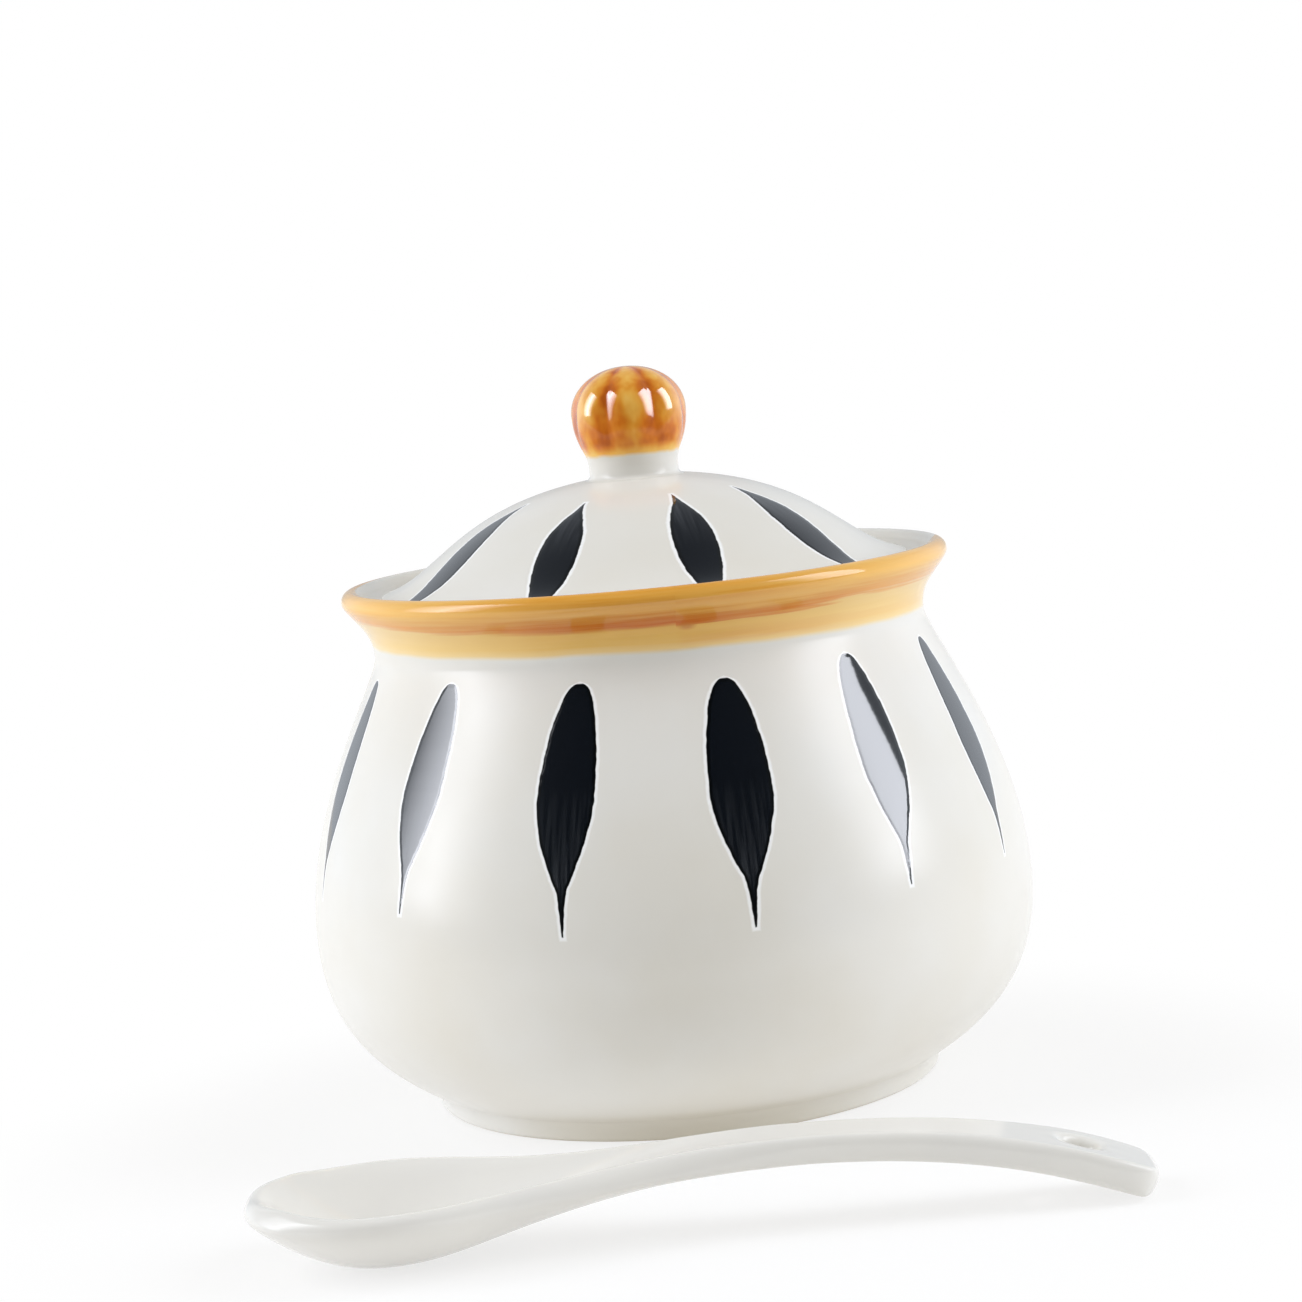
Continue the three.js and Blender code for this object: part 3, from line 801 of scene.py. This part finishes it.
# %% Painted finish of the pot
POT_TAIL = 35.2  # height of the strokes' tails
POT_STROKE = 32.6  # mm from tail to top
POT_STROKE_HALF = 4.75
POT_FIRST = -16.8  # degrees from the front to the first stroke
POT_OUTLINE = (
    (0.0, 0.03), (0.06, 0.07), (0.14, 0.13), (0.185, 0.2), (0.24, 0.37), (0.32, 0.62),
    (0.4, 0.82), (0.53, 1.0), (0.62, 0.98), (0.73, 0.9), (0.86, 0.71), (0.93, 0.54),
    (0.97, 0.385), (0.99, 0.25), (1.0, 0.1),
)
POT_HANDS = (  # shift, lean and bow in degrees, breadth, mm above the common tail, length
    (0.8, 2.7, 0.8, 0.9, -1.0, 34.3),
    (1.4, 1.6, 0.0, 0.97, -1.8, 34.1),
    (0.4, 2.1, 0.0, 0.84, 0.2, 32.9),
    (-0.8, 4.0, 0.0, 0.74, 0.0, 32.7),
    (0.5, 2.4, 0.3, 0.85, -0.6, 33.2),
    (-0.6, 1.2, -0.2, 0.9, 0.4, 32.4),
    (0.9, 3.0, 0.4, 0.82, -0.9, 33.8),
    (-0.3, 1.8, 0.0, 0.95, -0.2, 33.0),
    (0.7, 2.6, 0.5, 0.88, 0.7, 32.2),
    (-0.9, 0.9, -0.3, 0.8, -0.4, 33.4),
    (0.2, 2.2, 0.2, 0.9, 0.3, 32.6),
    (-1.4, 0.0, 0.0, 0.74, 1.2, 31.9),
    (0.0, 3.3, 0.0, 0.81, 1.8, 32.0),
)

PAINTED_FOOT_SHADE = "#DED6C4"  # painted shade, darker and warmer low on the front of the foot, near the floor
FOOT_SHADE_SHARE = 0.9
FOOT_SHADE_HEIGHT = 10  # mm, where that has faded out
FOOT_SHADE_FROM = 0.7  # cosine of the angle from the front where it starts

painted_pot, add, place, shader = glazed("painted stoneware under clear glaze")
# painted shade: the ivory turns darker low on the foot, on the side that faces the front
height = add("SeparateXYZ", [place], out=2)
low = add("MapRange", [height, FOOT_SHADE_HEIGHT, 0, 0, 1], **SMOOTH)
flat = add("VectorMath", [place, (1, 1, 0)], "MULTIPLY")
toward = add("VectorMath", [flat], "NORMALIZE")
backward = add("SeparateXYZ", [toward], out=1)
front_shade = add("MapRange", [backward, -FOOT_SHADE_FROM, -1, 0, FOOT_SHADE_SHARE])
foot_shade = add("Math", [low, front_shade], "MULTIPLY")
ivory = ivory_body(add, place)
body = add("Mix", {0: foot_shade, 6: ivory, 7: PAINTED_FOOT_SHADE}, **BLEND)
stroked = paint_petals(
    add, place, shader, body, POT_OUTLINE, POT_STROKE, POT_STROKE_HALF, streaky=0.7
)
banded = amber_band(add, place, shader, stroked)
link(banded, shader, "Base Color")

pot_finishes = {"painted": painted_pot, "clear": plain_glaze, "bare": bare_clay}
pot = turned("pot", pot_profile, pot_finishes)
lay_petals(pot, POT_FIRST, POT_HANDS, POT_STROKE, lambda point: point.z / MM - POT_TAIL)
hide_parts("jar_body")
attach(pot, "jar")
print("pot has", len(pot.data.polygons), "faces and", len(POT_HANDS), "strokes")

# %% [markdown]
# ## Lid
#
# The lid is a dome that flattens into a flange. The flange drops inside the lip and rests on the
# ledge, and a ring below it keeps the lid from sliding. Nine shorter strokes point at the knob.

# %% Profile of the lid
_, lid_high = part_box("lid")
LID_RADIUS = lid_high.x / MM
CROWN_HEIGHT = lid_high.z / MM
CROWN_RADIUS = 7.7
LID_EDGE = 0.9
FLANGE = 2.8
FLANGE_EDGE = 0.3
LID_WALL = 3.8
RING_DEPTH = 6
RING_WALL = 3.4
RING_PLAY = 0.8
RING_RADIUS = THROAT_RADIUS - RING_PLAY
RING_FILLET = 0.4
HOLLOW_FILLET = 0.6

ring_inner = RING_RADIUS - RING_WALL
ring_round = RING_WALL / 2
ring_middle = (RING_RADIUS - ring_round, LEDGE_HEIGHT - RING_DEPTH + ring_round)
crown = (CROWN_RADIUS, CROWN_HEIGHT)
hollow_crown = (CROWN_RADIUS, CROWN_HEIGHT - LID_WALL)
hollow_edge = (ring_inner, LEDGE_HEIGHT + LID_WALL / 2)
edge_middle = (LID_RADIUS - LID_EDGE, LEDGE_HEIGHT + FLANGE - LID_EDGE)
flange_top = (edge_middle[0], LEDGE_HEIGHT + FLANGE)
ring_top = (RING_RADIUS, LEDGE_HEIGHT)
flange_low = (LID_RADIUS, LEDGE_HEIGHT)

hollow_curve = curve(hollow_crown, (0.6, 0.19), (0.73, 0.67), hollow_edge, 24)
hollow_end = eased(hollow_curve[-2], hollow_edge, (ring_inner, ring_middle[1]), HOLLOW_FILLET)
dome_curve = curve(flange_top, (0.27, 0.18), (0.375, 0.82), crown, 40)
lid_profile = [
    ("clear", [(0, hollow_crown[1]), (CROWN_RADIUS / 2, hollow_crown[1])]),
    ("clear", hollow_curve[:-1] + hollow_end),
    ("clear", arc(ring_middle, ring_round, 180, 360, 14)),
    ("bare", eased((RING_RADIUS, ring_middle[1]), ring_top, flange_low, RING_FILLET)),
    ("bare", eased(ring_top, flange_low, edge_middle, FLANGE_EDGE)),
    ("painted", arc(edge_middle, LID_EDGE, 0, 90, 8) + dome_curve[1:]),
    ("painted", [(CROWN_RADIUS / 2, CROWN_HEIGHT), (0, CROWN_HEIGHT)]),
]
print("lid:", 2 * LID_RADIUS, "mm wide, its crown at", round(CROWN_HEIGHT, 1), "mm")

# %% Painted finish of the lid
LID_TIP = 17.6  # mm from the axis to the strokes' tips
LID_STROKE = 23.2  # mm from the tip out to the flange's edge
LID_STROKE_HALF = 3.3
LID_FIRST = -23.4  # degrees from the front to the first stroke
LID_OUTLINE = (
    (0.0, 0.02), (0.12, 0.22), (0.26, 0.6), (0.42, 0.92), (0.55, 1.0), (0.7, 0.92),
    (0.85, 0.66), (1.0, 0.4),
)
LID_HANDS = (  # as those of the pot
    (-0.8, 2.0, 0.0, 1.0, 0.6, 22.6),
    (-1.1, -3.3, 0.0, 1.0, 0.2, 23.0),
    (-4.0, -3.0, 0.0, 1.0, 0.4, 22.8),
    (0.6, 1.5, 0.5, 0.95, -0.2, 23.4),
    (-0.8, -1.0, 0.0, 1.05, 0.3, 22.9),
    (0.5, 1.0, -0.4, 1.0, 0.0, 23.2),
    (-0.4, 2.0, 0.3, 0.97, 0.5, 22.7),
    (0.7, -1.5, 0.0, 1.03, -0.1, 23.3),
    (-0.8, 6.0, 0.0, 1.0, 0.6, 22.6),
)

painted_lid, add, place, shader = glazed("painted lid under clear glaze")
body = ivory_body(add, place)
stroked = paint_petals(
    add, place, shader, body, LID_OUTLINE, LID_STROKE, LID_STROKE_HALF, streaky=0.6
)
link(stroked, shader, "Base Color")

lid_finishes = {"painted": painted_lid, "clear": plain_glaze, "bare": bare_clay}
lid = turned("domed_lid", lid_profile, lid_finishes)
lay_petals(
    lid, LID_FIRST, LID_HANDS, LID_STROKE, lambda point: hypot(point.x, point.y) / MM - LID_TIP
)
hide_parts("lid")
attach(lid, "lid")
print("lid has", len(lid.data.polygons), "faces and", len(LID_HANDS), "strokes")

# %% [markdown]
# ## Knob
#
# The knob is a ball on a short stem, pressed with a modelling tool into seven lobes like a melon. It
# was dipped in amber glaze down to the stem. Glaze runs off the lobes and gathers in the grooves,
# where it fires to a deep brown, and it breaks to yellow where it is thin. Low on the ball it has
# sagged into a darker and duller ring, and the edge of the dip is a line of gold.

# %% Shape of the knob
_, knob_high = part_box("knob")
KNOB_TOP = knob_high.z / MM
KNOB_RADIUS = 9
STEM_RADIUS = 6.9
STEM_FILLET = CROWN_RADIUS - STEM_RADIUS
STEM_EASE = 1.3
STEM_HEIGHT = 3.1
STEM_TOP = CROWN_HEIGHT + STEM_HEIGHT
WAIST_RISE = 7
KNOB_WAIST = STEM_TOP + WAIST_RISE
LOBES = 7
LOBE_TURN = radians(1.5)
GROOVE_DEPTH = 0.75
GROOVE_ROUND = 0.12  # how blunt a groove is, where 0 is a sharp crease

stem = (STEM_RADIUS, STEM_TOP)
waist = (KNOB_RADIUS, KNOB_WAIST)
below_curve = curve(stem, (0.35, 0.2), (1, 0.5), waist, 22)
above_curve = curve(waist, (0, 0.55), (0.42, 1), (0, KNOB_TOP), 26)
stem_foot = (STEM_RADIUS, CROWN_HEIGHT + STEM_FILLET)
knob_profile = [
    ("amber", [(0, CROWN_HEIGHT), (CROWN_RADIUS, CROWN_HEIGHT)]),
    ("amber", arc((CROWN_RADIUS, stem_foot[1]), STEM_FILLET, 270, 180, 6)),
    ("amber", eased(stem_foot, stem, below_curve[6], STEM_EASE)),
    ("amber", below_curve[7:] + above_curve),
]
print("knob:", round(KNOB_TOP - CROWN_HEIGHT, 1), "mm high with", LOBES, "lobes")

# %% Amber finish of the knob
DIP_LINE = STEM_TOP + 0.7
DIP_WANDER = 0.15  # mm that it wanders up or down
DIP_SOFT = 0.3  # mm to either side, over which the glaze starts
PATCHY = (0.42, 0.95)  # how light the coat is where it lies thick and thin
RUNS = (0.36, 0.36, 0.22)  # noise for each mm, so a patch is about 3 mm wide and 5 mm tall
GATHERED = 0.65  # how much darker it is in the grooves
GOLD_SHARE = 0.6
GOLD_EDGE = 1.6  # mm above the dip line where the glaze is thin and fires to gold
SAG_TOP = KNOB_WAIST + 1
SAG = 0.36  # how much thicker and darker the glaze is where it has run down to that edge
AMBER_COLOURS = (
    (0.0, "#C05E14"), (0.25, "#DC7A1E"), (0.5, "#EC9B32"), (0.75, "#F8B950"), (1.0, "#FCCB6A"),
)
RUN_IOR = 1.45  # where the glaze has run down and taken up clay it is duller
RUN_ROUGHNESS = 0.15
CAP_FROM, CAP_FULL = KNOB_WAIST - 2.5, KNOB_WAIST + 0.5
CAP_IOR = 2.3  # and on the cap it stands thick, and crystals of iron make it brilliant
CAP_ROUGHNESS = 0.07

amber_glaze, add, place, shader = glazed(
    "amber glaze breaking over lobes",
    ripple=3.0,
    ripple_depth=0.01,
    ring_depth=0.0,
    roughness=RUN_ROUGHNESS,
)
shader.inputs["IOR"].default_value = RUN_IOR
groove = add("Attribute", out="Fac", attribute_name="groove")
height = add("SeparateXYZ", [place], out=2)
cap = add("MapRange", [height, CAP_FROM, CAP_FULL, 0, 1])
glossier(add, shader, cap, CAP_IOR, CAP_ROUGHNESS)
runs = add("VectorMath", [place, RUNS], "MULTIPLY")
mottle = add("TexNoise", {"Vector": runs, "Scale": 1.0})
patchy = add("MapRange", [mottle, 0.3, 0.7, *PATCHY])
coat = add("Math", [groove, -GATHERED, patchy], "MULTIPLY_ADD")
wander = add("MapRange", [mottle, 0.3, 0.7, -DIP_WANDER, DIP_WANDER])
line = add("Math", [height, wander], "ADD")
low = add("MapRange", [line, DIP_LINE, DIP_LINE + GOLD_EDGE, GOLD_SHARE, 0])
sagged = add("MapRange", [line, DIP_LINE + GOLD_EDGE, SAG_TOP, SAG, 0], **SMOOTH)
thinner = add("Math", [coat, low], "ADD")
shade = add("Math", [thinner, sagged], "SUBTRACT")
coats = add("ValToRGB", [shade], stops=AMBER_COLOURS)
dipped = add("MapRange", [line, DIP_LINE - DIP_SOFT, DIP_LINE + DIP_SOFT, 0, 1])
body = ivory_body(add, place)
colour = add("Mix", {0: dipped, 6: body, 7: coats}, **BLEND)
link(colour, shader, "Base Color")

knob = turned("ribbed_knob", knob_profile, {"amber": amber_glaze})
grooves = knob.data.attributes.new("groove", "FLOAT", "POINT")
for vertex in knob.data.vertices:
    x, y, z = vertex.co
    facing = atan2(x, -y) - LOBE_TURN
    rise = min(max((z / MM - STEM_TOP) / (KNOB_WAIST - STEM_TOP), 0), 1)
    dent = 1 - hypot(cos(LOBES / 2 * facing), GROOVE_ROUND) / hypot(1, GROOVE_ROUND)
    grooves.data[vertex.index].value = dent * rise
    keep = 1 - GROOVE_DEPTH / KNOB_RADIUS * rise * dent
    vertex.co.x *= keep
    vertex.co.y *= keep
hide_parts("knob")
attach(knob, "lid")
print("knob has", len(knob.data.polygons), "faces")

# %% [markdown]
# ## Spoon
#
# The spoon is pressed from one slab: an egg-shaped bowl that narrows into a long, slightly arched
# handle with a hanging hole. It is modelled the same way. A sheet of quads follows the outline and
# the dish of the bowl, one vertex is opened into the hole, Solidify gives the sheet its thickness and
# a subdivision surface rounds the rim, as the glaze does.

# %% Outline and dish of the spoon
spoon_low, spoon_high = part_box("spoon")
SPOON_LENGTH = (spoon_high.x - spoon_low.x) / MM
BOWL_HALF = 15.35
BOWL_WIDEST = 17.9
BOWL_DEPTH = 8.6
BOWL_SLOPE = 0.8  # how soon its floor climbs to the handle, as a power
SPOON_WALL = 3.4
WAIST_HALF = 4.4
WAIST_AT = 74
HANDLE_START = 36
HANDLE_ARCH = 12
END_HALF = 6.3
END_CORNER = 4
HANDLE_THICKNESS = 4.2
HOLE_RADIUS = 1.95
HOLE_FROM_END = 10.3
HOLE_AT = SPOON_LENGTH - HOLE_FROM_END
DRAWN_UP = 0.28  # mm that the subdivision draws the bottom of the bowl up
DRAWN_IN = 1.12  # mm that it draws in the sloping rim of the bowl
DRAWN_TO_TIP, DRAWN_TO_WAIST = 1.6, 0.25  # how soon that fades to both sides, as powers
DRAWN_BACK = 0.95  # mm that it draws in the tip
TIP_STEPS = 40

rim = BOWL_DEPTH + SPOON_WALL / 2
handle_end = HANDLE_THICKNESS / 2
end_start = SPOON_LENGTH - END_CORNER
widest = (BOWL_WIDEST, BOWL_HALF)
narrowest = (WAIST_AT, WAIST_HALF)
tip_side = curve((0, SPOON_WALL / 2), (0, 0.584), (0.56, 1), widest, TIP_STEPS)
back_side = curve(widest, (0.25, 0), (0.3, 1), narrowest, 40)
handle_side = curve(narrowest, (0.3, 0), (0.55, 0.5), (end_start, END_HALF), 30)
end_side = arc((end_start, END_HALF - END_CORNER), END_CORNER, 90, 0, 20)
side = tip_side + back_side[1:] + handle_side[1:] + end_side[1:]
side_at = [point.x for point in side]
side_half = [point.y for point in side]


def half_width(at):
    """Half the width of the spoon, this many mm from its tip."""
    return float(numpy.interp(at, side_at, side_half))


def handle_share(at):
    """How far along the handle a place lies, from 0 in the bowl to 1 at the end."""
    return min(max((at - HANDLE_START) / (SPOON_LENGTH - HANDLE_START), 0), 1)


def bowl_share(half):
    """How wide the bowl is at this half width, from 0 at the waist to 1 at its widest."""
    return max((half - WAIST_HALF) / (BOWL_HALF - WAIST_HALF), 0)


def thickness(at):
    """Thickness of the slab, this many mm from the tip."""
    return SPOON_WALL + (HANDLE_THICKNESS - SPOON_WALL) * handle_share(at)


def underside(at, off):
    """Height of the spoon's underside, this many mm from its tip and off its middle line."""
    along = handle_share(at)
    rest = 1 - along
    level = rim * rest**3 + 3 * rim * rest**2 * along
    level += 3 * (handle_end + HANDLE_ARCH) * rest * along**2 + handle_end * along**3
    half = half_width(at)
    if at < BOWL_WIDEST:
        dish = 1 - hypot((BOWL_WIDEST - at) / BOWL_WIDEST, off / BOWL_HALF) ** 2
    elif at < WAIST_AT:
        dish = bowl_share(half) ** BOWL_SLOPE * (1 - (off / half) ** 2)
    else:
        dish = 0
    return level - thickness(at) / 2 - (BOWL_DEPTH + DRAWN_UP) * dish


print("spoon:", round(SPOON_LENGTH, 1), "mm long and", 2 * BOWL_HALF, "mm wide")

# %% [markdown]
# The sheet is a grid with eight columns. Straight rows would crowd together at the round tip and at
# the end of the handle, and the surface would pinch there. So the first row bends along the tip and
# the last one along the end, and the rows between them straighten out.

# %% Sheet of the spoon
COLUMNS = 8
TIP_ROWS = 5
BACK_ROWS = 16
HANDLE_ROWS = 8
SUBDIVIDED_RING = (2 + cos(pi / 4)) / 3  # how far a subdivided ring of eight points draws in
TIP_ROW = BOWL_WIDEST * (1 - cos(pi / 4))  # where the first row starts on the side of the bowl
TIP_FADE = 34  # mm from the tip to the first straight row
END_ROW = end_start + END_CORNER * sin(pi / 4)
END_FADE = HOLE_AT + 3
END_STEP = 1.6  # mm between the last two rows
HOLE_REACH = 4  # times the hole's own ring, within which the columns make way for it
HOLE_SPREAD = 0.6  # how far they do so
END_LEAN = 1.14  # mm that the sloping slab's upper edge reaches past its lower one at the end

hole_ring = HOLE_RADIUS / SUBDIVIDED_RING
tip_run = BOWL_WIDEST - TIP_ROW
back_run = WAIST_AT - BOWL_WIDEST
handle_run = HOLE_AT - 2 * hole_ring - WAIST_AT
rows_at = [TIP_ROW + tip_run * i / TIP_ROWS for i in range(TIP_ROWS)]
rows_at += [BOWL_WIDEST + back_run * i / BACK_ROWS for i in range(BACK_ROWS)]
rows_at += [WAIST_AT + handle_run * i / HANDLE_ROWS for i in range(HANDLE_ROWS + 1)]
hole_row = len(rows_at) + 1
rows_at += [HOLE_AT + step * hole_ring for step in (-1, 0, 1, 2)]
rows_at += [END_ROW - END_STEP, END_ROW]


def tip_edge(off):
    """Where the tip of the outline lies, this many mm off the middle line."""
    return float(numpy.interp(off, side_half[: TIP_STEPS + 1], side_at[: TIP_STEPS + 1]))


def end_edge(off):
    """Where the end of the handle lies, this many mm off the middle line."""
    beyond = max(off - (END_HALF - END_CORNER), 0)
    return end_start + (END_CORNER**2 - beyond**2) ** 0.5


sheet = bmesh.new()
rows = []
weights = []
for side_x in rows_at:
    near_hole = max(1 - abs(side_x - HOLE_AT) / (HOLE_REACH * hole_ring), 0)
    tip_bend = max((TIP_FADE - side_x) / (TIP_FADE - TIP_ROW), 0) ** 2
    end_bend = max((side_x - END_FADE) / (END_ROW - END_FADE), 0)
    half = half_width(side_x)
    steep = bowl_share(half) if side_x < WAIST_AT else 0
    fade = DRAWN_TO_TIP if side_x < BOWL_WIDEST else DRAWN_TO_WAIST
    wider = 1 + DRAWN_IN * steep**fade / half
    row = []
    for column in range(COLUMNS + 1):
        share = 2 * column / COLUMNS - 1
        share += HOLE_SPREAD * near_hole * share * (1 - abs(share))
        at = side_x - tip_bend * (TIP_ROW - tip_edge(abs(share) * half_width(TIP_ROW)))
        at += end_bend * (end_edge(abs(share) * half_width(END_ROW)) - END_ROW)
        off = share * half
        lean = END_LEAN * max((at - WAIST_AT) / (SPOON_LENGTH - WAIST_AT), 0) ** 2
        longer = DRAWN_BACK * max(1 - at / BOWL_WIDEST, 0)
        point = Vector((at - lean - longer, off * wider, underside(at, off)))
        row.append(sheet.verts.new(point * MM))
        weights.append(thickness(at) / HANDLE_THICKNESS)
    rows.append(row)
for near, far in zip(rows, rows[1:]):
    for column in range(COLUMNS):
        face = sheet.faces.new((near[column], far[column], far[column + 1], near[column + 1]))
        face.smooth = True

middle = rows[hole_row][COLUMNS // 2]
around = {corner for face in middle.link_faces for corner in face.verts} - {middle}
for corner in around:
    corner.co.xy = middle.co.xy + (corner.co - middle.co).xy.normalized() * hole_ring * MM
sheet.verts.index_update()
del weights[middle.index]
bmesh.ops.delete(sheet, geom=[middle], context="VERTS")

spoon = formed("serving_spoon", sheet)
spoon.data.transform(Matrix.Translation((spoon_low.x, (spoon_low.y + spoon_high.y) / 2, 0)))
wall = spoon.vertex_groups.new(name="wall")
for index, weight in enumerate(weights):
    wall.add([index], weight, "REPLACE")
slab = spoon.modifiers.new("slab", "SOLIDIFY")
slab.thickness = HANDLE_THICKNESS * MM
slab.offset = 1
slab.vertex_group = "wall"
slab.use_even_offset = True
rounded = spoon.modifiers.new("rounded by glaze", "SUBSURF")
rounded.levels = rounded.render_levels = 3
print("spoon sheet:", len(spoon.data.polygons), "quads around a hole of", 2 * HOLE_RADIUS, "mm")

# %% [markdown]
# The spoon is whiter than the jar: fine white china under the same clear glaze, with no throwing
# lines, because it is pressed in a mould.

# %% White glaze of the spoon
WHITE = "#EAE7DF"
WHITE_COOL = "#E6E3DC"
CLOUD_SIZE = 18  # mm

white_china, add, place, shader = glazed(
    "clear glaze over white china",
    ripple=9.0,
    ripple_depth=0.015,
    ring_depth=0.0,
    roughness=0.1,
)
cloud = add("TexNoise", {"Vector": place, "Scale": 1 / CLOUD_SIZE})
share = add("MapRange", [cloud, 0.35, 0.7, 0, 1])
china = add("Mix", {0: share, 6: WHITE, 7: WHITE_COOL}, **BLEND)
link(china, shader, "Base Color")
spoon.data.materials.append(white_china)
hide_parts("spoon")
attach(spoon, "spoon")
print("spoon finish:", white_china.name)

# %% [markdown]
# ## View and size
#
# The view transform is Standard, so a colour renders as it is written. The box of the dressed jar is
# printed in mm.

# %% Sizes and finish
bpy.context.scene.view_settings.view_transform = "Standard"
visual_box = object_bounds()
in_mm = [[round(value / MM, 1) for value in corner] for corner in visual_box]
print("visual box in mm:", in_mm)
